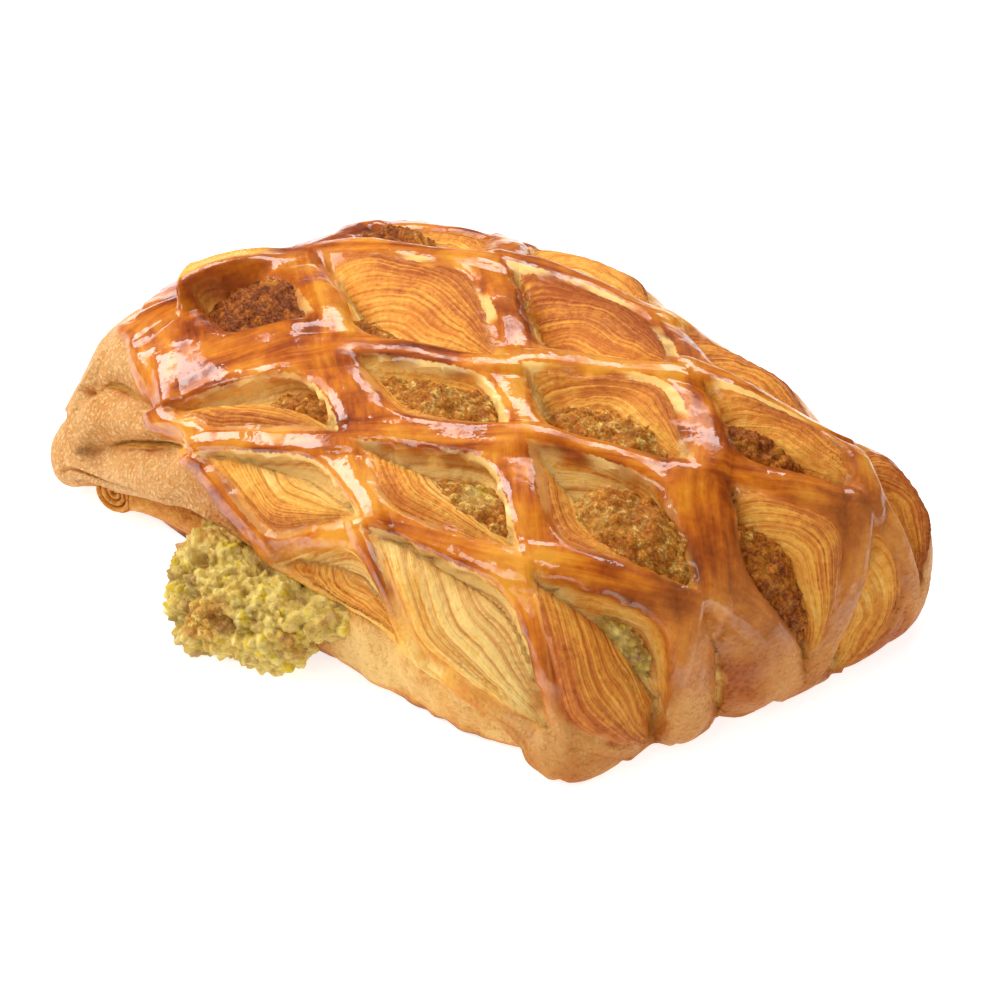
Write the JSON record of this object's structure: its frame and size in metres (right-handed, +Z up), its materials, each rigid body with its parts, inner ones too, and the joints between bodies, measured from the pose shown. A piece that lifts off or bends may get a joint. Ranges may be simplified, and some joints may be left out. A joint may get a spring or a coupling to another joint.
{
  "type": "pistachio pastry",
  "caption": "Baked oblong pastry with a domed, glazed lattice sheet of laminated dough over pistachio filling, on a flat base sheet.",
  "frame": {"origin": "middle of the underside, on the surface the pastry lies on", "axes": "+X along the pastry's length towards the end where the lattice runs down to the ground, +Y across it away from the squeezed-out lump, +Z up"},
  "size_m": [0.1564, 0.1106, 0.044],
  "materials": {
    "baked_base": "matte baked laminated dough",
    "pistachio": "crumbly nut paste, browned on top",
    "glazed_crust": "glossy sugar glaze on golden crust"
  },
  "bodies": {
    "root": {"base_sheet": "baked_base", "pistachio_filling": "pistachio", "lattice_sheet": "glazed_crust"}
  },
  "joints": []
}
